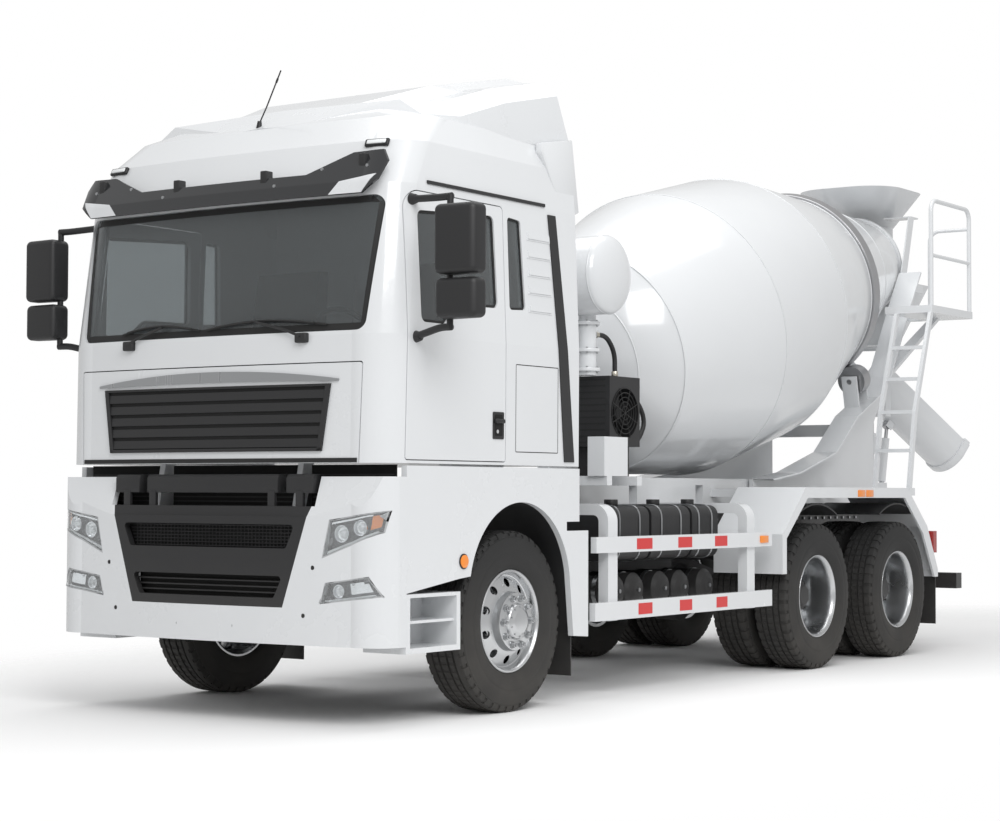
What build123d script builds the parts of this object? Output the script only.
from build123d import *
import math
import os

# A 6x4 concrete mixer truck, in millimetres. Positions are written in the vehicle's own
# frame: X across (+X is the vehicle's left), Y along (+Y is the rear, Y = 0 at the front
# axle), Z up from the ground. write_parts() then moves every piece so that the origin is
# on the ground under the middle of the overall length.

# ---------------------------------------------------------------- driving dimensions
WHEELBASE = 3850.0            # front axle to first rear axle
TANDEM = 1400.0               # between the two rear axles
TYRE_R = 525.0
TYRE_W = 295.0
BEAD_R = 292.0                # tyre bead, 22.5 inch rim
RIM_FLANGE_R = 299.0
FRONT_WHEEL_X = 1030.0        # centre plane of a front tyre
REAR_WHEEL_X = 1105.0         # centre plane of an outer rear tyre
DUAL_SPACING = 340.0
KINGPIN_X = 940.0
STEER_CLEARANCE = 12.0
RUN_GAP = 6.0                 # gap round what moves
FIT = 0.3                     # gap of a seated curved face

RAIL_X = 430.0                # outer face of a chassis rail
RAIL_Z0, RAIL_Z1 = 850.0, 1120.0
RAIL_T, RAIL_FLANGE = 10.0, 85.0
REAR_AXLE_Y = WHEELBASE + TANDEM
RAIL_Y0, RAIL_Y1 = -1130.0, REAR_AXLE_Y + 1170.0
SUB_Z1 = 1375.0               # top of the mixer subframe
SUB_X0, SUB_X1 = 345.0, 445.0
SUB_Y0, SUB_Y1 = 1150.0, RAIL_Y1
FENDER_Z1, FENDER_GAP = 1312.0, 70.0

CAB_WALL = 50.0
CAB_GAP = 6.0                 # seam round a door or flap
CAB_Z0 = 1425.0
CAB_BACK = 640.0
CAB_TILT_Y, CAB_TILT_Z = -1150.0, 1150.0
GLASS_T, GLASS_INSET = 8.0, 14.0

DRUM_TILT = 13.5              # degrees, rising to the rear
DRUM_Y, DRUM_Z = 4000.0, 2527.0   # a point of the drum's axis
DRUM_R = 1072.0
DRUM_WALL = 10.0
RING_S, RING_W, RING_R = 1800.0, 110.0, 812.0
ROLLER_R, ROLLER_W, ROLLER_ANGLE = 120.0, 120.0, 34.0

CHUTE_PIVOT_Y = 7400.0
CHUTE_AZIMUTH = 25.0          # degrees from straight back towards the vehicle's left
CHUTE_SLOPE = 36.0
CHUTE_L, CHUTE_W, CHUTE_D, CHUTE_T = 1330.0, 400.0, 300.0, 8.0
CHUTE_HINGE_Z = 2300.0

DOOR_HINGE_X = 1262.0
DOOR_HINGE_Y = -1092.0
FLAP_Z1 = 1972.0
FLAP_HINGE_Y = -1308.0


# ---------------------------------------------------------------- shape helpers
def frame_plane(axis, at):
    """A sketch plane across an axis: (y, z) for x, (x, z) for y and (x, y) for z."""
    if axis == "x":
        return Plane.YZ.offset(at)
    if axis == "y":
        return Plane.XZ.offset(-at)
    return Plane.XY.offset(at)


def outline(points, radius=0.0):
    """A closed face through the points, with one radius or one for each corner."""
    if not isinstance(radius, (list, tuple)) and radius <= 0:
        return make_face(Polyline(*points, close=True))
    return make_face(FilletPolyline(*points, radius=radius, close=True))


def prism(points, axis, low, high, radius=0.0):
    """The outline pushed along an axis from low to high."""
    start = high if axis == "y" else low
    return extrude(frame_plane(axis, start) * outline(points, radius), amount=high - low)


def block(x, y, z):
    """A box from three (low, high) pairs."""
    return Pos((x[0] + x[1]) / 2, (y[0] + y[1]) / 2, (z[0] + z[1]) / 2) * Box(
        x[1] - x[0], y[1] - y[0], z[1] - z[0])


def rod(a, b, radius):
    """A round bar from point a to point b."""
    a, b = Vector(*a), Vector(*b)
    middle = (a + b) * 0.5
    return Plane(origin=middle, z_dir=b - a) * Cylinder(radius, (b - a).length)


def tube_path(points, radii, radius):
    """A round tube along straight runs joined by arcs."""
    path = FilletPolyline(*points, radius=radii) if radii else Polyline(*points)
    return sweep(Plane(path ^ 0) * Circle(radius), path=path)


def both_sides(piece):
    """The piece and its mirror image across the middle of the vehicle."""
    return piece + mirror(piece, about=Plane.YZ)


def turned(profile, axis, centre):
    """A lathe shape: (along, radius) points turned round a line along an axis."""
    if axis == "x":
        plane = Plane(origin=centre, x_dir=(1, 0, 0), z_dir=(0, 0, 1))
    else:
        plane = Plane(origin=centre, x_dir=axis, z_dir=(1, 0, 0))
    face = plane * make_face(Polyline(*profile, close=True))
    line = Axis(centre, (1, 0, 0) if axis == "x" else axis)
    return revolve(face, line, 360)


# ---------------------------------------------------------------- wheels
def tyre(centre_x, y):
    """One road tyre as a ring of few faces."""
    half = TYRE_W / 2
    # along the axle, radius
    profile = [(-half + 45, BEAD_R), (-half, BEAD_R + 90), (-half + 8, TYRE_R - 60),
               (-half + 30, TYRE_R - 6), (-half + 60, TYRE_R), (half - 60, TYRE_R),
               (half - 30, TYRE_R - 6), (half - 8, TYRE_R - 60), (half, BEAD_R + 90),
               (half - 45, BEAD_R)]
    return turned(profile, "x", (centre_x, y, TYRE_R))


HUB_BORE_R = 46.0
HUB_R = 168.0
HAND_HOLES, HAND_HOLE_R, HAND_HOLE_PCD_R = 10, 24.0, 222.0


def front_rim(side):
    """Alloy wheel with its disc near the outer flange, hand holes and the hub with its cap."""
    seat = TYRE_W / 2 - 45
    # along the axle measured outwards from the tyre's centre plane, radius
    profile = [(-seat, BEAD_R - FIT), (-seat, 268), (seat - 55, 262), (seat + 4, 178),
               (seat - 22, 170), (seat - 95, 150), (seat - 95, HUB_BORE_R), (40, HUB_BORE_R),
               (40, 0), (seat + 104, 0), (seat + 104, 70), (seat + 84, 98), (seat + 66, 108),
               (seat + 66, HUB_R), (seat + 14, HUB_R + 8), (seat + 14, 192), (seat - 24, 262),
               (seat + 26, 280), (seat + 26, RIM_FLANGE_R), (seat + 12, RIM_FLANGE_R),
               (seat, BEAD_R - FIT)]
    profile = [(side * along, radius) for along, radius in profile]
    rim = turned(profile, "x", (side * FRONT_WHEEL_X, 0, TYRE_R))
    for k in range(HAND_HOLES):
        a = math.radians(360 / HAND_HOLES * (k + 0.5))
        y, z = HAND_HOLE_PCD_R * math.cos(a), TYRE_R + HAND_HOLE_PCD_R * math.sin(a)
        rim -= rod((side * (FRONT_WHEEL_X + 20), y, z), (side * (FRONT_WHEEL_X + 200), y, z),
                   HAND_HOLE_R)
    return rim


def rear_rims(side, y):
    """The two rims of a dual wheel on one hub, the outer one deeply dished."""
    seat = TYRE_W / 2 - 45
    inner = -DUAL_SPACING
    # along the axle outwards from the outer tyre's centre plane, radius
    profile = [(inner - seat - 10, BEAD_R - FIT), (inner - seat - 10, 270), (inner + 60, 262),
               (-205, 240), (-205, HUB_BORE_R), (-30, HUB_BORE_R), (-30, 0), (20, 0), (20, 80),
               (-12, 108), (-90, 118), (-90, 190), (-150, 215), (-150, 250), (-60, 262),
               (seat - 10, 270), (seat + 22, 284), (seat + 22, RIM_FLANGE_R),
               (seat + 12, RIM_FLANGE_R), (seat, BEAD_R - FIT), (-seat, BEAD_R - FIT),
               (-seat - 20, BEAD_R + 4), (inner + seat + 20, BEAD_R + 4),
               (inner + seat, BEAD_R - FIT)]
    profile = [(side * along, radius) for along, radius in profile]
    return turned(profile, "x", (side * REAR_WHEEL_X, y, TYRE_R))


# ---------------------------------------------------------------- axles
def knuckle(side):
    """Steering knuckle: kingpin, yokes round the axle eye, flange and stub shaft."""
    x = side * KINGPIN_X
    pin = rod((x, 0, TYRE_R - 125), (x, 0, TYRE_R + 125), 22)
    yokes = [block(sorted((x - side * 45, x + side * 72)), (-45, 45), (TYRE_R + z0, TYRE_R + z1))
             for z0, z1 in ((70, 110), (-110, -70))]
    flange = block(sorted((x + side * 60, x + side * 84)), (-70, 70), (TYRE_R - 110, TYRE_R + 110))
    stub = rod((x + side * 70, 0, TYRE_R), (x + side * (FRONT_WHEEL_X + 30 - KINGPIN_X), 0, TYRE_R),
               HUB_BORE_R - FIT)
    arm = block(sorted((x - side * 200, x - side * 20)), (80, 120), (TYRE_R - 105, TYRE_R - 80))
    arm_root = block(sorted((x - side * 40, x + side * 20)), (30, 120), (TYRE_R - 105, TYRE_R - 80))
    return pin + yokes[0] + yokes[1] + flange + stub + arm + arm_root


def front_axle():
    """Dropped I beam with its kingpin eyes, and the two leaf springs it hangs from."""
    top = [(-900, 585), (-640, 585), (-520, 500), (520, 500), (640, 585), (900, 585)]
    low = [(900, 480), (680, 480), (560, 400), (-560, 400), (-680, 480), (-900, 480)]
    beam = prism(top + low, "y", -45, 45)
    for side in (-1, 1):
        eye = rod((side * KINGPIN_X, 0, TYRE_R - 65), (side * KINGPIN_X, 0, TYRE_R + 65), 44)
        beam += eye
    for side in (-1, 1):
        beam -= rod((side * KINGPIN_X, 0, 300), (side * KINGPIN_X, 0, 800), 22 + FIT)
    # along Y and up: a gentle arched pack of leaves with its two frame eyes
    leaf = [(-860, 760), (-820, 800), (-400, 620), (-90, 560), (90, 560), (400, 620),
            (820, 800), (860, 760), (420, 560), (90, 500), (-90, 500), (-420, 560)]
    for side in (-1, 1):
        x = sorted((side * 350, side * 430))
        beam += prism(leaf, "x", *x)
        for y in (-840, 840):
            beam += block(x, (y - 40, y + 40), (770, RAIL_Z0))
    return beam


def tandem_axles():
    """Two driven axles with their housings, the trunnion and the leaf packs between them."""
    parts = None
    for y in (WHEELBASE, WHEELBASE + TANDEM):
        tube = rod((-880, y, TYRE_R), (880, y, TYRE_R), 62)
        ends = both_sides(rod((880, y, TYRE_R), (REAR_WHEEL_X - 32, y, TYRE_R), HUB_BORE_R - FIT))
        housing = turned([(-190, 0), (-190, 120), (-90, 215), (90, 215), (190, 120), (190, 0)],
                         "x", (0, y, TYRE_R))
        nose = rod((0, y - 330, TYRE_R + 60), (0, y, TYRE_R + 60), 95)
        axle = tube + ends + housing + nose
        parts = axle if parts is None else parts + axle
    mid = WHEELBASE + TANDEM / 2
    # along Y and up: a pack that rests on both axles and is clamped at the trunnion
    leaf = [(-TANDEM / 2 - 70, 580), (TANDEM / 2 + 70, 580), (TANDEM / 2 + 70, 640),
            (260, 760), (-260, 760), (-TANDEM / 2 - 70, 640)]
    leaf = [(mid + y, z) for y, z in leaf]
    for side in (-1, 1):
        parts += prism(leaf, "x", *sorted((side * 440, side * 530)))
        parts += block(sorted((side * 400, side * 540)), (mid - 110, mid + 110), (700, RAIL_Z0))
    parts += rod((-500, mid, 790), (500, mid, 790), 50)
    return parts


# ---------------------------------------------------------------- chassis
def chassis_frame():
    """Two channel rails and the cross members between them."""
    rails = None
    for side in (-1, 1):
        web = block(sorted((side * (RAIL_X - RAIL_T), side * RAIL_X)), (RAIL_Y0, RAIL_Y1),
                    (RAIL_Z0, RAIL_Z1))
        rails = web if rails is None else rails + web
        for z in (RAIL_Z0, RAIL_Z1 - RAIL_T):
            rails += block(sorted((side * (RAIL_X - RAIL_FLANGE), side * RAIL_X)),
                           (RAIL_Y0, RAIL_Y1), (z, z + RAIL_T))
    inner = RAIL_X - RAIL_T
    # y, depth along y, low z, high z
    members = [(-1100, 60, 870, 1100), (1160, 80, 930, 1100), (2100, 80, 930, 1100),
               (3100, 80, 930, 1100), (WHEELBASE + TANDEM / 2, 120, 880, 1100),
               (RAIL_Y1 - 520, 80, 930, 1100), (RAIL_Y1 - 30, 60, RAIL_Z0, RAIL_Z1)]
    for y, depth, z0, z1 in members:
        rails += block((-inner, inner), (y - depth / 2, y + depth / 2), (z0, z1))
    return rails


def subframe():
    """The mixer's own frame on the rails: two box beams with lightening holes and cross tubes."""
    beams = None
    for side in (-1, 1):
        x = sorted((side * SUB_X0, side * SUB_X1))
        beam = block(x, (SUB_Y0, SUB_Y1), (RAIL_Z1, SUB_Z1))
        for y in (1320, 2560, 3500):
            beam -= block(x, (y - 55, y + 55), (RAIL_Z1 + 60, SUB_Z1 - 50))
        beams = beam if beams is None else beams + beam
    for y in (1250, 2350, 3650, 4700, 6300):
        beams += block((-SUB_X0, SUB_X0), (y - 50, y + 50), (RAIL_Z1 + 40, SUB_Z1 - 30))
    # outriggers that carry the cooler and the control box on the left
    for y in (1330, 1700):
        beams += block((SUB_X1, 1010), (y - 30, y + 30), (SUB_Z1 - 60, SUB_Z1))
    return beams


def driveline():
    """Engine and gearbox as plain blocks, and the propeller shafts to the two axles."""
    engine = block((-310, 310), (-900, 330), (640, 1330))
    sump = prism([(-780, 640), (200, 640), (120, 520), (-700, 520)], "x", -190, 190)
    gearbox = prism([(330, 1100), (1040, 980), (1040, 680), (330, 640)], "x", -190, 190)
    shaft = rod((0, 1030, 800), (0, WHEELBASE - 338, TYRE_R + 60), 50)
    link = rod((0, WHEELBASE + 217, TYRE_R + 60), (0, WHEELBASE + TANDEM - 330 - FIT, TYRE_R + 60), 50)
    mounts = None
    for y in (-600, 200):
        pad = block((-420, 420), (y - 50, y + 50), (RAIL_Z0 + RAIL_T, 940))
        mounts = pad if mounts is None else mounts + pad
    return engine + sump + gearbox + shaft + mounts, link


def side_tanks():
    """Fuel and urea tanks with air reservoirs below them on the left, battery box on the right."""
    pieces = []
    # low y, high y of the boxes, on the left
    for y0, y1 in ((1340, 1840), (1870, 2380), (2410, 2770)):
        tank = prism([(560, 830), (1000, 830), (1000, 1185), (560, 1185)], "y", y0, y1,
                     [70, 70, 70, 70])
        pieces.append(tank)
    shelf = block((RAIL_X, 640), (1300, 2780), (870, 930))
    for y in (1460, 1700, 2040, 2300, 2640):
        reservoir = rod((520, y, 640), (960, y, 640), 112)
        dome = turned([(960, 0), (960, 112), (985, 90), (1000, 50), (1005, 0)], "x", (0, y, 640))
        pieces.append(reservoir + dome)
    body = pieces[0]
    for piece in pieces[1:]:
        body += piece
    body += shelf
    body += block((600, 660), (1380, 2720), (740, 840))
    battery = block((-1080, -RAIL_X), (1400, 2200), (700, 1090))
    silencer = rod((-780, 2300, 860), (-780, 2900, 860), 230) + block((-560, -RAIL_X), (2400, 2800), (840, 900))
    return body, battery, silencer


GUARD_X0, GUARD_X1 = 1200.0, 1242.0
GUARD_Y0, GUARD_Y1 = 805.0, WHEELBASE - 740.0


def side_guard():
    """Side guard of the left: two rails on two uprights whose tops bend in to the subframe."""
    rails = block((GUARD_X0, GUARD_X1), (GUARD_Y0, GUARD_Y1), (900, 998))
    rails += block((GUARD_X0, GUARD_X1), (GUARD_Y0 - 15, GUARD_Y1), (486, 598))
    # y of the post, inner end of its arm
    for y, end in ((1035, 350), (GUARD_Y1 - 265, SUB_X1)):
        outer = [(1216, 480), (1216, 1200), (end, 1200), (end, 1130), (1146, 1130), (1146, 480)]
        rails += prism(outer, "y", y - 55, y + 55, [1, 110, 1, 1, 40, 1])
    rails += block((350, RAIL_X), (980, 1090), (RAIL_Z1, 1130))
    return rails


# ---------------------------------------------------------------- front end below the cab
def plan_ring(front, crown, corner, half, back, inset):
    """Plan of a wrap-round bumper: an arc across the front, rounded corners, short sides."""
    f, h = front + inset, half - inset
    right = Line((-h, back), (-h, f + corner))
    a = ThreePointArc((-h, f + corner), (-h + 0.16 * corner, f + crown + 0.36 * corner),
                      (-0.82 * h, f + crown))
    b = ThreePointArc((-0.82 * h, f + crown), (0, f), (0.82 * h, f + crown))
    c = ThreePointArc((0.82 * h, f + crown), (h - 0.16 * corner, f + crown + 0.36 * corner),
                      (h, f + corner))
    d = Line((h, f + corner), (h, back))
    e = Line((h, back), (-h, back))
    return make_face([right, a, b, c, d, e])


BUMPER_FRONT, BUMPER_BACK = -1345.0, -1090.0
BUMPER_HALF = 1228.0
BUMPER_Z0, BUMPER_Z1 = 440.0, 1352.0
BUMPER_WALL = 38.0


def bumper_solid(inset, z0, z1):
    """The bumper's outer form with its upper part leaning back."""
    low = extrude(Plane.XY.offset(z0) * plan_ring(BUMPER_FRONT, 55, 190, BUMPER_HALF, BUMPER_BACK, inset),
                  amount=z1 - z0)
    lean = prism([(BUMPER_FRONT - 50, 1135), (BUMPER_FRONT - 50, 1600), (-1225, 1600),
                  (-1240 + inset * 0.9, 1352), (BUMPER_FRONT + 30 + inset, 1135)], "x", -1400, 1400)
    return low - lean


CENTRE_TOP_X, CENTRE_LOW_X = 737.0, 560.0
CENTRE_Z0, CENTRE_Z1 = 640.0, 1190.0


def centre_outline(grow):
    """Tapering centre panel of the bumper, in X and Z."""
    return [(-CENTRE_TOP_X - grow, CENTRE_Z1 + grow), (CENTRE_TOP_X + grow, CENTRE_Z1 + grow),
            (CENTRE_LOW_X + grow, CENTRE_Z0 - grow), (-CENTRE_LOW_X - grow, CENTRE_Z0 - grow)]


HEADLAMP = [(819, 910), (865, 1119), (1212, 1171), (1190, 1053)]
FOGLAMP = [(807, 666), (841, 780), (1120, 819), (1190, 711)]


def bumper_parts():
    """White wrap-round bumper, its dark centre panel with two openings, and the four lamps."""
    outer = bumper_solid(0, BUMPER_Z0, BUMPER_Z1)
    inner = bumper_solid(BUMPER_WALL, BUMPER_Z0 - 5, BUMPER_Z1 + 5)
    shell = outer - inner
    centre = shell & prism(centre_outline(0), "y", -1500, -1100)
    shell -= prism(centre_outline(0), "y", -1500, -1100)
    shell -= block((-760, 760), (-1500, -1000), (CENTRE_Z1, 1500))
    # low x at top, z0, z1 of the two openings
    for x, z0, z1 in ((640, 960, 1090), (560, 690, 810)):
        centre -= prism([(-x, z1), (x, z1), (x - 60, z0), (-x + 60, z0)], "y", -1500, -1100, 20)
    lamps = None
    for points in (HEADLAMP, FOGLAMP):
        for side in (-1, 1):
            tool = prism([(side * x, z) for x, z in points], "y", -1500, -1130)
            lamp = shell & tool
            shell -= tool
            lamps = lamp if lamps is None else lamps + lamp
    beam = block((-1000, 1000), (BUMPER_BACK - 100, BUMPER_BACK - 60), (540, 620))
    for side in (-1, 1):
        beam += block(sorted((side * 330, side * 430)), (BUMPER_BACK - 60, RAIL_Y0), (540, 1000))
    beam += block((-950, 950), (BUMPER_FRONT + 110, BUMPER_BACK - 90), (470, 560))
    for side in (-1, 1):
        bracket = block(sorted((side * 760, side * 820)), (BUMPER_FRONT, BUMPER_BACK - 60), (540, 620))
        beam += bracket & inner
    beam += block((-60, 60), (BUMPER_FRONT, BUMPER_BACK - 60), (560, 630)) & inner
    return shell, centre, lamps, beam


# along Y and up: front end, crown and rear end of the front wheel arch
ARCH = ((35 - TYRE_R, TYRE_R + 275), (15, 2 * TYRE_R + 162), (TYRE_R + 5, TYRE_R + 265))


# radius that a steered wheel sweeps round its kingpin
STEER_REACH = math.hypot(TYRE_R, FRONT_WHEEL_X + TYRE_W / 2 - KINGPIN_X) + STEER_CLEARANCE


def front_fender(side):
    """Entry fairing with its step box, wheel-arch panel and rear extension of one side."""
    x = sorted((side * 1185, side * 1222))
    # along Y and up: fairing and arch panel in one outline, open at the wheel arch
    face = make_face([
        Polyline(ARCH[0], (-TYRE_R - 75, 790), (-1085, 725), (-1085, 1412), (CAB_BACK, 1412),
                 (CAB_BACK, 1095), (500, 1095), (500, 1040), (740, 1040), (740, 400),
                 (TYRE_R + 50, 412), ARCH[2]),
        ThreePointArc(ARCH[2], ARCH[1], ARCH[0])])
    face += make_face(Polyline((BUMPER_BACK, 1200), (-1080, 1200), (-1080, 1340), (BUMPER_BACK, 1340),
                               close=True))
    panel = extrude(Plane.YZ.offset(x[0]) * face, amount=x[1] - x[0])
    rear = -STEER_REACH
    step = block(sorted((side * 930, side * 1222)), (-1085, rear), (400, 720))
    step -= block(sorted((side * 985, side * 1223)), (-1050, rear - 35), (430, 700))
    step += block(sorted((side * 930, side * 1200)), (-1085, rear), (560, 575))
    riser = block(sorted((side * 930, side * 960)), (-1085, -640), (720, 1100))
    shelf = block(sorted((side * 930, side * 1185)), (-1085, -640), (1080, 1110))
    return panel + step + riser + shelf


def wheel_liners():
    """Dark inner wheel housings, mudflaps and the stays that carry them."""
    parts = None
    for side in (-1, 1):
        x = sorted((side * 640, side * (1185 - FIT)))
        r, t = TYRE_R, 12
        ring = make_face([
            ThreePointArc((30 - r, r + 315), (15, 2 * r + 175), (r + 15, r + 265)),
            Line((r + 15, r + 265), (r + 95, 430)), Line((r + 95, 430), (r + 82, 425)),
            Line((r + 82, 425), (r + 15 - t, r + 264)),
            ThreePointArc((r + 15 - t, r + 264), (15, 2 * r + 175 - t), (30 + t - r, r + 310)),
            Line((30 + t - r, r + 310), (30 - r, r + 315))])
        liner = extrude(Plane.YZ.offset(x[0]) * ring, amount=x[1] - x[0])
        liner += block(sorted((side * RAIL_X, side * 760)), (-25, 25), (1090, 2 * r + 170))
        flap = block(sorted((side * 900, side * 1180)), (r + 82, r + 92), (170, 440))
        parts = liner + flap if parts is None else parts + liner + flap
        for y in (WHEELBASE, WHEELBASE + TANDEM):
            arc = make_face([
                ThreePointArc((y - 330, 1115), (y, 1195), (y + 330, 1115)),
                Line((y + 330, 1115), (y + 326, 1105)),
                ThreePointArc((y + 326, 1105), (y, 1183), (y - 326, 1105)),
                Line((y - 326, 1105), (y - 330, 1115))])
            inner = extrude(Plane.YZ.offset(sorted((side * 640, side * 1228))[0]) * arc, amount=588)
            parts += inner
            x0 = SUB_X1 if y < ARM_Y0 else ARM_X1
            parts += block(sorted((side * x0, side * 700)), (y - 20, y + 20), (1150, 1190))
        y = REAR_AXLE_Y + TYRE_R + 215
        rear_flap = block(sorted((side * 700, side * 1225)), (y, y + 12), (220, 650))
        parts += rear_flap
    return parts


def rear_fender(side):
    """Tandem mudguard: a bent sheet over both wheels with a turned-down outer lip."""
    front, rear = WHEELBASE - TYRE_R - FENDER_GAP, REAR_AXLE_Y + TYRE_R + 215
    top = FENDER_Z1
    # along Y and up
    out = [(front, 700), (front, top - 332), (front + 365, top), (rear - 590, top), (rear - 210, top - 302),
           (rear, 660), (rear, 600)]
    inn = [(rear - 16, 600), (rear - 16, 656), (rear - 225, top - 309), (rear - 600, top - 16),
           (front + 373, top - 16), (front + 16, top - 340), (front + 16, 700)]
    sheet = prism(out + inn, "x", *sorted((side * 700, side * 1250)))
    lip_in = [(rear - 65, 600), (rear - 290, top - 362), (rear - 640, top - 77), (front + 400, top - 77),
              (front + 65, top - 362), (front + 65, 700)]
    lip = prism(out + lip_in, "x", *sorted((side * 1232, side * 1250)))
    stays = None
    for y, x0 in ((WHEELBASE - 150, SUB_X1), (WHEELBASE + TANDEM / 2, ARM_X1), (REAR_AXLE_Y + 50, ARM_X1)):
        stay = block(sorted((side * x0, side * 760)), (y - 25, y + 25), (1240, top - 16))
        stays = stay if stays is None else stays + stay
    return sheet + lip + stays


def underrun_bar():
    """Rear underrun beam on two legs from the chassis rails."""
    bar = block((-1200, 1200), (RAIL_Y1 + 70, RAIL_Y1 + 180), (485, 612))
    for side in (-1, 1):
        bar += block(sorted((side * 340, side * RAIL_X)), (RAIL_Y1, RAIL_Y1 + 80), (485, 1000))
    return bar


def rear_lamps():
    """Two tail lamp clusters on their brackets."""
    lamps = None
    for side in (-1, 1):
        y = RAIL_Y1 - 350
        lamp = block(sorted((side * 830, side * 1190)), (y - 40, y + 40), (790, 965))
        lamp += block(sorted((side * RAIL_X, side * 840)), (y - 20, y + 10), (900, 950))
        lamps = lamp if lamps is None else lamps + lamp
    return lamps


# ---------------------------------------------------------------- cab
# z, front at the middle, half width, how far the front corner starts back, back of the cab
CAB_SECTIONS = [
    (1425.0, -1300.0, 1215.0, 220.0, 640.0),
    (2120.0, -1292.0, 1218.0, 230.0, 640.0),
    (2950.0, -1190.0, 1186.0, 230.0, 640.0),
    (3200.0, -1070.0, 1165.0, 250.0, 640.0),
    (3365.0, -900.0, 1105.0, 330.0, 625.0),
    (3480.0, -700.0, 800.0, 330.0, 560.0),
]


def cab_section(z, front, half, corner, back, inset):
    """One level section of the cab, drawn in by an inset."""
    f, h, b = front + inset, half - inset, back - inset
    edge = 0.80 * h
    left_corner = (-edge, f + 40)
    right_corner = (edge, f + 40)
    return Plane.XY.offset(z) * make_face([
        ThreePointArc(left_corner, (0, f), right_corner),
        ThreePointArc(right_corner, (edge + 0.72 * (h - edge), f + 40 + 0.30 * (corner - 40)),
                      (h, f + corner)),
        Line((h, f + corner), (h, b)), Line((h, b), (-h, b)), Line((-h, b), (-h, f + corner)),
        ThreePointArc((-h, f + corner), (-edge - 0.72 * (h - edge), f + 40 + 0.30 * (corner - 40)),
                      left_corner)])


def cab_body(inset):
    """The whole cab form, drawn in by an inset on every side."""
    sections = []
    last = len(CAB_SECTIONS) - 1
    for k, (z, front, half, corner, back) in enumerate(CAB_SECTIONS):
        if k == 0:
            z += inset
        if k == last:
            z -= inset
        sections.append(cab_section(z, front, half, corner, back, inset))
    return loft(sections, ruled=True)


DOOR = [(-1095, 1440), (-1060, 2915), (-138, 2915), (-138, 1440)]
DOOR_R = [20, 110, 30, 20]
DOOR_WINDOW = [(-965, 2805), (-950, 2195), (-740, 2195), (-600, 2310), (-215, 2320), (-235, 2850)]
QUARTER_WINDOW = [(-95, 2860), (40, 2850), (70, 2330), (-95, 2320)]
WINDSCREEN = [(-1055, 2140), (1055, 2140), (1105, 2880), (-1105, 2880)]
FLAP = [(-1032, CAB_Z0 - 50), (1032, CAB_Z0 - 50), (1050, FLAP_Z1), (-1050, FLAP_Z1)]
GRILLE = [(-845, 1855), (845, 1855), (790, 1490), (-790, 1490)]


def cab_floor(inset):
    """The floor slab inside the walls, which stays with the shell where a door or flap is cut."""
    z, front, half, corner, back = CAB_SECTIONS[0]
    return extrude(cab_section(z, front, half, corner, back, inset), amount=CAB_WALL)


def shrink(points, by):
    """Outline points drawn towards their middle by a few millimetres each way."""
    cy = sum(p[0] for p in points) / len(points)
    cz = sum(p[1] for p in points) / len(points)
    moved = []
    for u, v in points:
        moved.append((u + math.copysign(by, cy - u), v + math.copysign(by, cz - v)))
    return moved


def cab_parts():
    """Hollow cab split at its real panels: shell, doors, front flap, grille and glass."""
    outer, inner = cab_body(0), cab_body(CAB_WALL)
    shell = outer - inner
    floor, floor_edge = cab_floor(CAB_WALL), cab_floor(CAB_WALL + CAB_GAP)
    glass_skin = cab_body(GLASS_INSET) - cab_body(GLASS_INSET + GLASS_T)
    out = {}
    panes = None
    for side, name in ((1, "left"), (-1, "right")):
        x = sorted((side * 1000, side * 1400))
        window = prism(DOOR_WINDOW, "x", *x, radius=40)
        door = shell & prism(shrink(DOOR, CAB_GAP), "x", *x, radius=[15, 104, 25, 15])
        out[f"door_{name}"] = door - window - floor
        out[f"door_glass_{name}"] = glass_skin & window
        shell -= prism(DOOR, "x", *x, radius=DOOR_R) - floor_edge
        quarter = prism(QUARTER_WINDOW, "x", *x, radius=25)
        pane = glass_skin & quarter
        panes = pane if panes is None else panes + pane
        shell -= quarter
    screen = prism(WINDSCREEN, "y", -1400, -1020, 60)
    panes += glass_skin & screen
    shell -= screen
    front = (-1500, -1190)
    flap = (shell & prism(shrink(FLAP, CAB_GAP), "y", *front, radius=15)) - floor
    shell -= prism(FLAP, "y", *front, radius=15) - floor_edge
    grille = flap & prism(GRILLE, "y", *front, radius=25)
    flap -= prism(GRILLE, "y", *front, radius=25)
    for z0 in (1535, 1635, 1735):
        slot = prism([(-745, z0), (745, z0), (755, z0 + 68), (-755, z0 + 68)], "y", -1500, -1262, 18)
        grille -= slot
    for side in (-1, 1):
        # tilt bracket down to the pivot bar
        shell += prism([(CAB_TILT_Y - 34, CAB_TILT_Z), (CAB_TILT_Y + 34, CAB_TILT_Z),
                        (CAB_TILT_Y + 110, CAB_Z0 + 2), (CAB_TILT_Y + 25, CAB_Z0 + 2)],
                       "x", *sorted((side * 500, side * 540)))
        shell += rod((side * 500, CAB_TILT_Y, CAB_TILT_Z), (side * 540, CAB_TILT_Y, CAB_TILT_Z), 34)
    for side in (-1, 1):
        shell -= rod((side * 480, CAB_TILT_Y, CAB_TILT_Z), (side * 560, CAB_TILT_Y, CAB_TILT_Z), 16)
    out["cab_shell"] = shell
    out["cab_glass"] = panes
    out["front_flap"] = flap + grille
    return out


def cab_pivot():
    """Pivot bar of the tilting cab, on stands from the rails."""
    bar = rod((-560, CAB_TILT_Y, CAB_TILT_Z), (560, CAB_TILT_Y, CAB_TILT_Z), 16 - FIT)
    for side in (-1, 1):
        bar += block(sorted((side * RAIL_X, side * (RAIL_X + 50))),
                     (CAB_TILT_Y - 40, CAB_TILT_Y + 60), (RAIL_Z0 + 50, CAB_TILT_Z + 30))
    return bar


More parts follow.
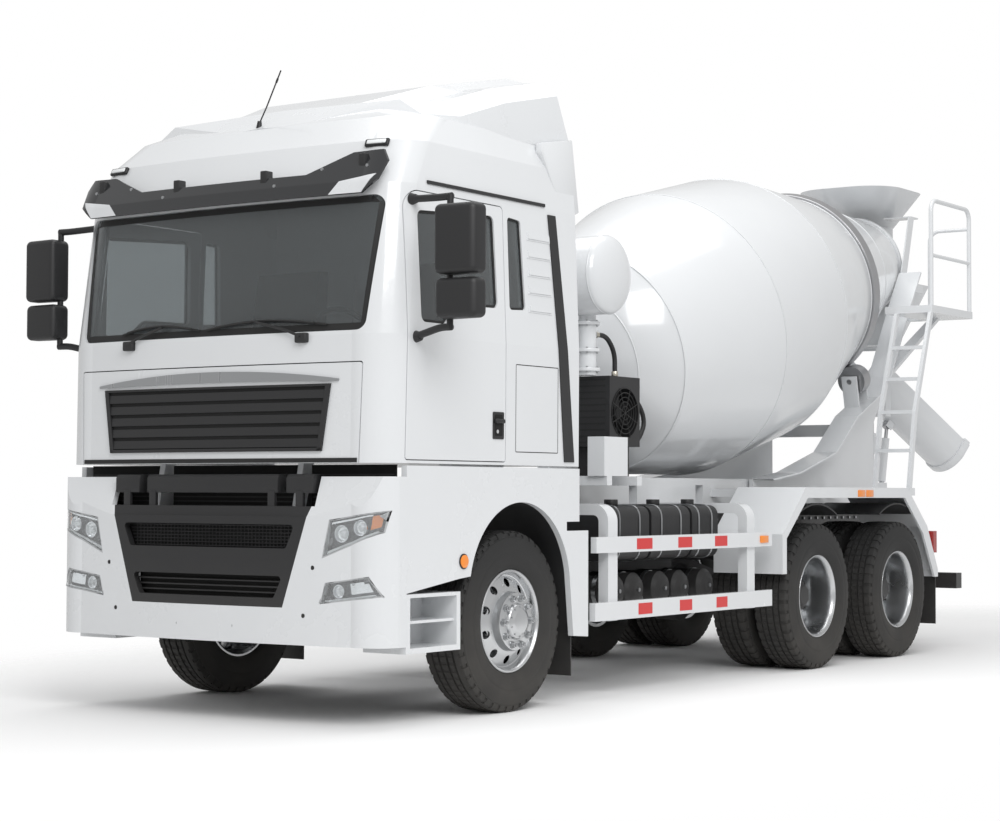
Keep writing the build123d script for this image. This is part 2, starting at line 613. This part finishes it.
def roof_deflector():
    """Air deflector on the roof, rising to the rear."""
    # along Y: y, half width, top z
    sections = []
    for y, half, z in ((-640, 700, 3495), (-100, 900, 3680), (600, 960, 3830)):
        face = outline([(-half, 3400), (half, 3400), (half - 60, z - 60), (half - 260, z),
                        (-half + 260, z), (-half + 60, z - 60)])
        sections.append(Plane.XZ.offset(-y) * face)
    body = loft(sections, ruled=True)
    return body - cab_body(-FIT)


def sun_visor():
    """Curved visor plate across the windscreen's top with raised ends, on its brackets."""
    skin = cab_body(-75) - cab_body(-63)
    shape = [(-1110, 2950), (-1020, 2880), (1020, 2880), (1110, 2950), (1130, 3060), (1090, 3125),
             (900, 3120), (620, 3010), (-620, 3010), (-900, 3120), (-1090, 3125), (-1130, 3060)]
    visor = skin & prism(shape, "y", -1600, -900)
    for x in (-1000, -330, 330, 1000):
        visor += block((x - 20, x + 20), (-1330, -1100), (2960, 2990)) & (cab_body(-63) - cab_body(0))
    return visor


def mirror_set(side):
    """Door mirror: two housings on a pair of arms from the door's front edge."""
    upper = prism([(side * 1430, -1150), (side * 1690, -1135), (side * 1700, -1010), (side * 1440, -985)],
                  "z", 2425, 2800, 35)
    lower = prism([(side * 1430, -1140), (side * 1685, -1125), (side * 1690, -1005), (side * 1440, -985)],
                  "z", 2190, 2405, 35)
    stem = rod((side * 1470, -1040, 2140), (side * 1470, -1040, 2860), 18)
    arms = rod((side * 1120, -1000, 2860), (side * 1480, -1040, 2850), 20)
    arms += rod((side * 1150, -1000, 2110), (side * 1480, -1040, 2150), 20)
    return upper + lower + stem + (arms - cab_body(0))


def cab_interior():
    """Dashboard, two seats, bunk and steering wheel on the cab floor."""
    dash = prism([(-1240, CAB_Z0 + CAB_WALL), (-1240, 2080), (-1010, 2110), (-880, 1990), (-900, 1700),
                  (-1050, CAB_Z0 + CAB_WALL)], "x", -1080, 1080) & cab_body(CAB_WALL + 12)
    for x in (-500, 500):
        dash += block((x - 60, x + 60), (-1160, -1070), (CAB_Z0 + CAB_WALL, CAB_Z0 + CAB_WALL + 40))
    seats = None
    for x in (-560, 560):
        seat = prism([(-560, 1840), (-540, 1960), (-90, 1940), (40, 2640), (130, 2640), (60, 1840)],
                     "x", x - 250, x + 250)
        seat += block((x - 180, x + 180), (-420, 0), (CAB_Z0 + CAB_WALL, 1840))
        seats = seat if seats is None else seats + seat
    bunk = block((-1000, 1000), (180, 560), (CAB_Z0 + CAB_WALL, 1830))
    wheel = Pos(560, -760, 2120) * Rot(-55, 0, 0) * Torus(215, 16)
    wheel += Pos(560, -760, 2120) * Rot(-55, 0, 0) * Box(400, 34, 16)
    column = rod((560, -950, 1970), (560, -766, 2114), 35)
    return dash + column, seats, bunk, wheel


# ---------------------------------------------------------------- mixer
AXIS_DIR = (0, math.cos(math.radians(DRUM_TILT)), math.sin(math.radians(DRUM_TILT)))
AXIS_UP = (0, -math.sin(math.radians(DRUM_TILT)), math.cos(math.radians(DRUM_TILT)))


def on_axis(s, up=0.0, x=0.0):
    """A point of the drum's frame: s along its axis, up across it, x sideways."""
    return (x, DRUM_Y + s * AXIS_DIR[1] + up * AXIS_UP[1], DRUM_Z + s * AXIS_DIR[2] + up * AXIS_UP[2])


DRUM_FLANGE_S, DRUM_MOUTH_S, DRUM_MOUTH_R = -1860.0, 3250.0, 410.0
# s along the axis, radius: the shell's outer profile from its front flange to its mouth
DRUM_PROFILE = [(DRUM_FLANGE_S, 250.0), (-1790.0, 260.0), (-1610.0, 560.0), (-1400.0, 815.0),
                (-340.0, DRUM_R), (700.0, DRUM_R), (1790.0, 790.0), (DRUM_MOUTH_S, DRUM_MOUTH_R)]


def drum_shell():
    """Double-cone drum with an open mouth and the weld rings between its sections."""
    outer = [(s, r) for s, r in DRUM_PROFILE]
    inner = [(s, r - DRUM_WALL) for s, r in reversed(DRUM_PROFILE[1:])]
    profile = outer + inner + [(DRUM_FLANGE_S + 30, 240 - DRUM_WALL), (DRUM_FLANGE_S + 30, 0), (DRUM_FLANGE_S, 0)]
    return turned(profile, AXIS_DIR, on_axis(0))


def track_ring():
    """Steel running ring welded round the rear cone."""
    slope = (790.0 - DRUM_MOUTH_R) / (DRUM_MOUTH_S - 1790.0)
    r0 = 790.0 - slope * (RING_S - 1790.0)
    r1 = 790.0 - slope * (RING_S + RING_W - 1790.0)
    return turned([(RING_S, r0), (RING_S, RING_R), (RING_S + RING_W, RING_R), (RING_S + RING_W, r1)],
                  AXIS_DIR, on_axis(0))


def roller_centre(side, s=RING_S + RING_W / 2):
    """Middle of a drum roller, below the ring at its angle."""
    reach = RING_R + ROLLER_R + FIT
    a = math.radians(ROLLER_ANGLE)
    return on_axis(s, -reach * math.cos(a), side * reach * math.sin(a))


def drum_roller(side):
    """One roller with its stub shafts."""
    half = ROLLER_W / 2
    return turned([(-half - 40, 0), (-half - 40, 22), (-half, 22), (-half, ROLLER_R), (half, ROLLER_R),
                   (half, 22), (half + 40, 22), (half + 40, 0)], AXIS_DIR, roller_centre(side))


def drum_drive():
    """Planetary gearbox and hydraulic motor on the drum's axis."""
    end = DRUM_FLANGE_S - FIT * 10
    return turned([(end - 560, 0), (end - 560, 95), (end - 380, 95), (end - 380, 150), (end - 260, 170),
                   (end - 260, 235), (end - 60, 235), (end - 60, 200), (end, 200), (end, 0)],
                  AXIS_DIR, on_axis(0))


def front_pedestal():
    """Front stand: two slanted legs on the subframe with a cradle plate for the gearbox."""
    parts = None
    for side in (-1, 1):
        x = sorted((side * SUB_X0, side * SUB_X1))
        leg = prism([(1480, SUB_Z1), (2120, SUB_Z1), (2010, 2020), (1760, 2020)], "x", *x)
        leg -= prism([(1640, SUB_Z1 + 80), (1980, SUB_Z1 + 80), (1920, 1850), (1790, 1850)], "x", *x)
        parts = leg if parts is None else parts + leg
    cradle = block((-SUB_X0, SUB_X0), (1790, 1990), (1640, 1790))
    saddle = block((-SUB_X0, SUB_X0), (1945, 2015), (1640, 2015))
    parts = parts + cradle + saddle
    # posts up to the water tank
    for side in (-1, 1):
        parts += block(sorted((side * 355, side * 435)), (1500, 1580), (SUB_Z1, 2410))
        parts += block(sorted((side * 355, side * 435)), (1340, 1580), (2330, 2410))
    return parts - turned([(-2600, 0), (-2600, 235 + FIT), (-1800, 235 + FIT), (-1800, 0)], AXIS_DIR, on_axis(0))


TANK_Y, TANK_Z, TANK_R, TANK_END = 1430.0, 2670.0, 255.0, 950.0


def water_tank():
    """Transverse water tank with domed ends, resting on the front stand's arms."""
    dome = 70
    half = [(0, 0), (0, TANK_R), (TANK_END - 20, TANK_R), (TANK_END + 25, TANK_R - 45),
            (TANK_END + dome - 10, TANK_R / 2), (TANK_END + dome, 0)]
    profile = [(-x, r) for x, r in reversed(half[2:])] + half[2:]
    tank = turned(profile, "x", (0, TANK_Y, TANK_Z))
    for side in (-1, 1):
        tank += block(sorted((side * 355, side * 435)), (TANK_Y - 100, TANK_Y + 100), (2410, 2480))
    return tank


COOLER_X = (470.0, 850.0)
COOLER_Y = (1590.0, 1970.0)
COOLER_Z = (1572.0, 2030.0)
FAN_R = 160.0


def oil_cooler():
    """Oil cooler housing with a round fan opening in its outer face, on a stand."""
    box = block(COOLER_X, COOLER_Y, COOLER_Z)
    y, z = sum(COOLER_Y) / 2, sum(COOLER_Z) / 2 - 10
    box -= rod((COOLER_X[1] - 120, y, z), (COOLER_X[1] + 10, y, z), FAN_R + 8)
    for y0 in (1680, 1900):
        box += block((560, 800), (y0 - 15, y0 + 15), (SUB_Z1, COOLER_Z[0]))
    return box


def cooler_fan():
    """Axial fan of the cooler: hub with six blades."""
    y, z = sum(COOLER_Y) / 2, sum(COOLER_Z) / 2 - 10
    x = COOLER_X[1] - 120
    hub = rod((x + FIT, y, z), (x + 70, y, z), 38)
    for k in range(6):
        blade = Pos(x + 45, y, z) * Rot(60 * k, 0, 0) * Pos(0, 0, 92) * Rot(0, 0, 32) * Box(50, 5, 124)
        hub += blade
    return hub


def control_box():
    """Control cabinet on the outrigger beside the stand."""
    return block((880, 1005), (1275, 1560), (SUB_Z1, 1625))


ARM_X0, ARM_X1, ARM_FLANGE_X = 460.0, 490.0, 665.0
ARM_Y0 = 4250.0
# along Y and up: the front edge of a rear stand's arm, then its back edge down again
ARM_FRONT = [(ARM_Y0, SUB_Z1), (4700, 1430), (5350, 1600), (5750, 1900), (6150, 2070), (6390, 2250),
             (6800, 2870), (7030, 3190)]
ARM_BACK = [(7180, 3190), (6960, 2700), (6640, 2150), (6420, 1850), (6420, 1150), (ARM_Y0, 1150)]


def rear_pedestal():
    """Rear stand: two swept arms with broad front flanges, roller cheeks, cross beams and the chute's arm."""
    thick = 18
    flange = ARM_FRONT + [(y + thick * 0.8, z - thick * 0.6) for y, z in reversed(ARM_FRONT)]
    parts = None
    for side in (-1, 1):
        web = prism(ARM_FRONT + ARM_BACK, "x", *sorted((side * ARM_X0, side * ARM_X1)))
        web += prism(flange, "x", *sorted((side * ARM_X0, side * ARM_FLANGE_X)))
        parts = web if parts is None else parts + web
    parts += block((-ARM_X0, ARM_X0), (6300, 6400), (1750, 1850))
    parts += block((-ARM_X0, ARM_X0), (6830, 6890), (2550, 2610))
    for side in (-1, 1):
        for y0, y1 in ((4300, 4700), (5700, 6400)):
            parts += block(sorted((side * SUB_X1, side * ARM_X0)), (y0, y1), (1150, SUB_Z1))
    # arm that carries the chute's post
    parts += prism([(6420, 900), (6420, 1345), (CHUTE_PIVOT_Y - 60, 1780), (CHUTE_PIVOT_Y - 60, 1640),
                    (6700, 1200)], "x", -50, 50)
    parts += Pos(0, CHUTE_PIVOT_Y, 1700) * Cylinder(BOSS_R, 160)
    parts -= Pos(0, CHUTE_PIVOT_Y, 1700) * Cylinder(POST_R + FIT, 200)
    for side in (-1, 1):
        for ds in (-90, 90):
            centre = roller_centre(side, RING_S + RING_W / 2 + ds)
            plane = Plane(origin=centre, x_dir=(1, 0, 0), z_dir=AXIS_DIR)
            cheek = plane * (Pos(0, 100, 0) * Box(130, 290, 24))
            parts += cheek
        a, b = roller_centre(side, RING_S - 80), roller_centre(side, RING_S + RING_W + 80)
        parts -= rod(a, b, 22 + FIT)
    return parts


POST_R = 45.0


HOPPER_Z1, HOPPER_NECK_Z = 3940.0, 3660.0


def ring_loft(top, z1, low, z0, wall):
    """A funnel between two rounded rectangles given as (cx, cy, w, l, r)."""
    def body(grow, up):
        faces = []
        for (cx, cy, w, l, r), z in ((low, z0 - up), (top, z1 + up)):
            faces.append(Pos(cx, cy, z) * RectangleRounded(w - 2 * grow, l - 2 * grow, r - grow))
        return loft(faces, ruled=True)
    return body(0, 0) - body(wall, 2)


def hopper():
    """Charging hopper: a flared funnel over its neck, braced to the rear stand."""
    funnel = ring_loft((0, 7240, 940, 1000, 330), HOPPER_Z1, (0, 7530, 330, 330, 150), HOPPER_NECK_Z, 10)
    neck = Pos(0, 7530, HOPPER_NECK_Z - 60) * (Cylinder(165, 120) - Cylinder(152, 120))
    braces = None
    for side in (-1, 1):
        brace = prism([(7060, 3190), (7170, 3190), (7330, 3700), (7230, 3700)], "x",
                      *sorted((side * ARM_X0, side * (ARM_X0 + 12))))
        tie = block(sorted((side * 213, side * (ARM_X0 + 12))), (7260, 7420), (3700, 3712))
        braces = brace + tie if braces is None else braces + brace + tie
    return funnel + neck + braces


def collector():
    """Discharge collector under the drum's mouth, narrowing to its outlet."""
    funnel = ring_loft((0, 7540, 900, 480, 100), 3130, (0, 7480, 380, 320, 80), 2560, 10)
    for side in (-1, 1):
        funnel += block(sorted((side * ARM_X1, side * (ARM_X1 + 12))), (7060, 7450), (3040, 3110))
        funnel += block(sorted((side * 438, side * ARM_X1)), (7380, 7450), (3060, 3110))
    return funnel


DECK_X0, DECK_X1 = 800.0, 1215.0
DECK_Y0, DECK_Y1 = 5980.0, 6830.0
DECK_Z0, DECK_Z1 = 2740.0, 2800.0


def platform():
    """Service platform with handrails, its brackets and the ladder that leads up to it."""
    deck = block((DECK_X0, DECK_X1), (DECK_Y0, DECK_Y1), (DECK_Z0, DECK_Z1))
    deck += block((ARM_X1, DECK_X0), (6780, DECK_Y1), (DECK_Z0, DECK_Z1))
    deck += prism([(ARM_X1, 2200), (ARM_X1, 2330), (920, DECK_Z0), (1000, DECK_Z0)], "y", 6600, 6660)
    x = DECK_X1 - 20
    top = 3660
    rails = tube_path([(x, 6010, DECK_Z1 - 10), (x, 6010, top), (x, 6810, top), (x, 6810, DECK_Z1 - 10)],
                      [90, 90], 18)
    rails += rod((x, 6010, 3210), (x, 6810, 3210), 15)
    rails += tube_path([(DECK_X0 + 40, 6810, DECK_Z1 - 10), (DECK_X0 + 40, 6810, 3500), (x, 6810, 3500)],
                       [90], 15)
    ladder = None
    for x0 in (905, 1200):
        rail = prism([(5520, 1312), (5570, 1312), (5685, 1920), (6010, 2740), (5960, 2740), (5640, 1925)],
                     "x", x0 - 14, x0 + 14)
        ladder = rail if ladder is None else ladder + rail
    # height of each rung, y on the rails' line
    for z, y in ((1610, 5594), (1920, 5663), (2190, 5770), (2450, 5873)):
        ladder += block((905, 1200), (y - 22, y + 22), (z - 14, z + 14))
    foot = block((ARM_X1, 1225), (5490, 5600), (1252, 1312))
    return deck + rails + ladder + foot


def chute_frame():
    """Local frame of the chute: origin at its tilt hinge, X down its slope, Z out of its trough."""
    a, t = math.radians(CHUTE_AZIMUTH), math.radians(CHUTE_SLOPE)
    along = Vector(math.sin(a) * math.cos(t), math.cos(a) * math.cos(t), -math.sin(t))
    out = Vector(math.sin(a) * math.sin(t), math.cos(a) * math.sin(t), math.cos(t))
    return Plane(origin=(0, CHUTE_PIVOT_Y, CHUTE_HINGE_Z), x_dir=along, z_dir=out)


JACK_FOOT = (140.0, 1330.0)    # ahead of the post, height
JACK_EYE = (420.0, -225.0)     # down the chute, out of its trough (below is negative)
JACK_PIN_R = 12.0
JACK_BARREL_R, JACK_ROD_R = 34.0, 16.0
JACK_BARREL_L, JACK_ROD_IN = 438.0, 146.0   # from the foot eye: end of the barrel, inner end of the rod
POST_Z0, POST_Z1 = 1280.0, 1974.0
BOSS_R = 66.0


def slew_plane():
    """Local frame of the chute's post: X ahead along the chute, Y across, Z up, from the ground."""
    a = math.radians(CHUTE_AZIMUTH)
    return Plane(origin=(0, CHUTE_PIVOT_Y, 0), x_dir=(math.sin(a), math.cos(a), 0), z_dir=(0, 0, 1))


def jack_eye():
    """The jack's upper eye in the slew frame: ahead, height."""
    t = math.radians(CHUTE_SLOPE)
    u, w = JACK_EYE
    return u * math.cos(t) + w * math.sin(t), CHUTE_HINGE_Z - u * math.sin(t) + w * math.cos(t)


def chute_slew():
    """Turning post of the chute with its yoke, hinge pins and the jack's foot bracket."""
    post = rod((0, 0, POST_Z0), (0, 0, POST_Z1), POST_R) + Pos(0, 0, 1795) * Cylinder(BOSS_R - 4, 24)
    yoke = Pos(0, 0, 1962) * Box(60, 520, 24)
    for s in (-1, 1):
        yoke += Pos(0, s * 252, 2150) * Box(60, 16, 380)
        yoke += Pos(0, s * 240, CHUTE_HINGE_Z) * Rot(90, 0, 0) * Cylinder(JACK_PIN_R, 44)
        yoke += block((20, JACK_FOOT[0] + 30), sorted((s * 32, s * 44)), (JACK_FOOT[1] - 35, JACK_FOOT[1] + 35))
    yoke += Pos(JACK_FOOT[0], 0, JACK_FOOT[1]) * Rot(90, 0, 0) * Cylinder(JACK_PIN_R, 88)
    return slew_plane() * (post + yoke)


def chute_jack():
    """Hydraulic jack in two pieces: barrel with its foot eye, and rod with its upper eye."""
    foot, eye = JACK_FOOT, jack_eye()
    run, rise = eye[0] - foot[0], eye[1] - foot[1]
    length = math.hypot(run, rise)
    along = (run / length, rise / length)

    def at(distance):
        return foot[0] + along[0] * distance, 0, foot[1] + along[1] * distance

    barrel = rod(at(45), at(JACK_BARREL_L), JACK_BARREL_R) + rod(at(0), at(50), 22)
    barrel += Pos(foot[0], 0, foot[1]) * Rot(90, 0, 0) * Cylinder(30, 56)
    barrel -= rod(at(70), at(JACK_BARREL_L + 10), JACK_ROD_R + FIT)
    barrel -= Pos(foot[0], 0, foot[1]) * Rot(90, 0, 0) * Cylinder(JACK_PIN_R + FIT, 100)
    piston = rod(at(JACK_ROD_IN), at(length - 10), JACK_ROD_R) + Pos(eye[0], 0, eye[1]) * Rot(90, 0, 0) * Cylinder(26, 40)
    piston -= Pos(eye[0], 0, eye[1]) * Rot(90, 0, 0) * Cylinder(JACK_PIN_R + 1, 100)
    return slew_plane() * barrel, slew_plane() * piston, length


def discharge_chute():
    """Half-round discharge chute with its end ring and hinge lugs."""
    plane = chute_frame()
    r = CHUTE_W / 2
    # across the trough and out of it
    outer = make_face([ThreePointArc((-r, 0), (0, -r), (r, 0)), Line((r, 0), (r, CHUTE_D - r)),
                       Line((r, CHUTE_D - r), (-r, CHUTE_D - r)), Line((-r, CHUTE_D - r), (-r, 0))])
    q = r - CHUTE_T
    inner = make_face([ThreePointArc((-q, 0), (0, -q), (q, 0)), Line((q, 0), (q, CHUTE_D)),
                       Line((q, CHUTE_D), (-q, CHUTE_D)), Line((-q, CHUTE_D), (-q, 0))])
    cross = plane * Plane(origin=(-160, 0, 20), x_dir=(0, 1, 0), z_dir=(1, 0, 0))
    trough = extrude(cross * outer, amount=CHUTE_L) - extrude(cross * inner, amount=CHUTE_L)
    for s in (-1, 1):
        trough += plane * (Pos(0, s * (r + 12), 0) * Box(90, 24, 90))
        trough -= plane * (Pos(0, s * (r + 12), 0) * Rot(90, 0, 0) * Cylinder(JACK_PIN_R + FIT, 60))
        trough += plane * (Pos(JACK_EYE[0], s * 34, JACK_EYE[1] + 22) * Box(70, 12, 74))
    trough += plane * (Pos(JACK_EYE[0], 0, JACK_EYE[1]) * Rot(90, 0, 0) * Cylinder(JACK_PIN_R, 80))
    return trough


def main_nodes():
    """Every node's solid in the vehicle's frame."""
    nodes = {}
    for side, name in ((1, "left"), (-1, "right")):
        nodes[f"tyre_front_{name}"] = tyre(side * FRONT_WHEEL_X, 0)
        nodes[f"rim_front_{name}"] = front_rim(side)
        nodes[f"knuckle_{name}"] = knuckle(side)
        for k, y in ((2, WHEELBASE), (3, WHEELBASE + TANDEM)):
            pair = tyre(side * REAR_WHEEL_X, y) + tyre(side * (REAR_WHEEL_X - DUAL_SPACING), y)
            nodes[f"tyres_axle{k}_{name}"] = pair
            nodes[f"rims_axle{k}_{name}"] = rear_rims(side, y)
        nodes[f"mirror_{name}"] = mirror_set(side)
        nodes[f"drum_roller_{name}"] = drum_roller(side)
    shell, centre, lamps, beam = bumper_parts()
    nodes["axles"] = front_axle() + tandem_axles()
    nodes["chassis_frame"] = chassis_frame() + cab_pivot() + beam + underrun_bar()
    nodes["subframe"] = subframe()
    engine, link = driveline()
    nodes["driveline"] = engine + link
    tanks, battery, silencer = side_tanks()
    nodes["side_tanks"] = tanks + battery + silencer
    nodes["side_guards"] = both_sides(side_guard())
    nodes["bumper"] = shell
    nodes["bumper_centre"] = centre
    nodes["front_lamps"] = lamps
    nodes["front_fenders"] = front_fender(1) + front_fender(-1)
    nodes["wheel_liners"] = wheel_liners()
    nodes["rear_fenders"] = rear_fender(1) + rear_fender(-1)
    nodes["rear_lamps"] = rear_lamps()
    nodes.update(cab_parts())
    nodes["roof_deflector"] = roof_deflector()
    nodes["sun_visor"] = sun_visor()
    dash, seats, bunk, wheel = cab_interior()
    nodes["cab_interior"] = dash + wheel + seats + bunk
    nodes["drum_shell"] = drum_shell()
    nodes["track_ring"] = track_ring()
    nodes["drum_drive"] = drum_drive()
    nodes["front_pedestal"] = front_pedestal() + control_box()
    nodes["water_tank"] = water_tank()
    nodes["oil_cooler"] = oil_cooler()
    nodes["cooler_fan"] = cooler_fan()
    nodes["rear_pedestal"] = rear_pedestal()
    nodes["hopper"] = hopper()
    nodes["collector"] = collector()
    nodes["platform"] = platform()
    nodes["chute_slew"] = chute_slew()
    nodes["discharge_chute"] = discharge_chute()
    barrel, piston, length = chute_jack()
    nodes["jack_barrel"] = barrel
    nodes["jack_rod"] = piston
    return nodes


def write_parts():
    nodes = main_nodes()
    front = min(piece.bounding_box().min.Y for piece in nodes.values())
    rear = max(piece.bounding_box().max.Y for piece in nodes.values())
    shift = -(front + rear) / 2
    print("front", front, "rear", rear, "shift", shift)
    os.makedirs("parts", exist_ok=True)
    for name, piece in nodes.items():
        export_step(Pos(0, shift, 0) * piece, f"parts/{name}.step")


if __name__ == "__main__":
    write_parts()
